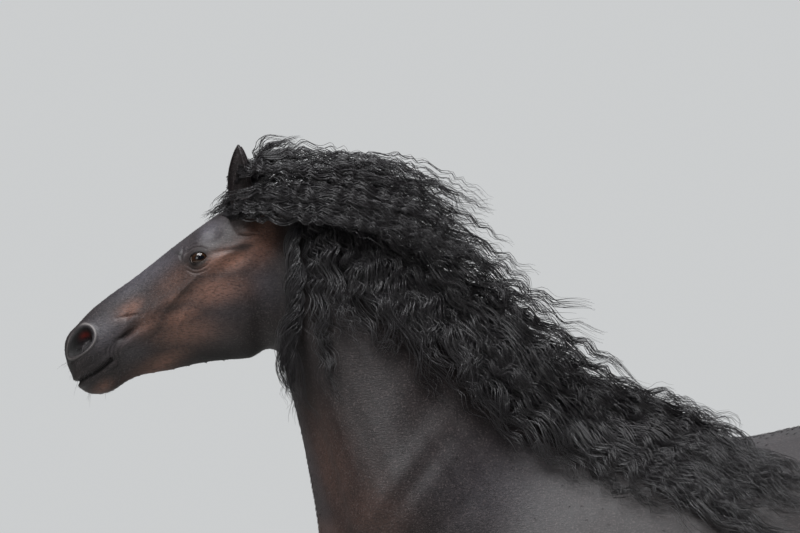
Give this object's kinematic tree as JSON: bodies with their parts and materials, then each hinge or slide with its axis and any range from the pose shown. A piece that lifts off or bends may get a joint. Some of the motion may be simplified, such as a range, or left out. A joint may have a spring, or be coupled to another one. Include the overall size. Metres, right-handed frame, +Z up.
{
  "type": "standing friesian horse",
  "caption": "Life-size standing black Friesian horse with a long wavy blown-back mane, full tail and feathered legs, standing on its hoofs.",
  "frame": {"origin": "on the floor under the centre of the bounding box", "axes": "+X from the head to the tail, +Y to the horse's right side, +Z up"},
  "size_m": [2.3657, 0.6607, 2.2568],
  "materials": {
    "head_coat": "short dark brown-black coat",
    "neck_coat": "short black coat with a brown tint, and black mane",
    "body_coat": "short black coat with a grey sheen",
    "leg_coat": "short black coat and long black feather",
    "long_hair": "long black hair",
    "ear_coat": "short fuzzy brown-black hair",
    "hoof_horn": "dark horn",
    "eye": "wet dark brown"
  },
  "bodies": {
    "root": {"head": "head_coat", "neck": "neck_coat", "torso": "body_coat", "tail": "long_hair", "foreleg_left": "leg_coat", "foreleg_right": "leg_coat", "hindleg_left": "leg_coat", "hindleg_right": "leg_coat", "hoof_foreleg_left": "hoof_horn", "hoof_foreleg_right": "hoof_horn", "hoof_hindleg_left": "hoof_horn", "hoof_hindleg_right": "hoof_horn", "ear_left": "ear_coat", "ear_right": "ear_coat", "eye_left": "eye", "eye_right": "eye"}
  },
  "joints": []
}
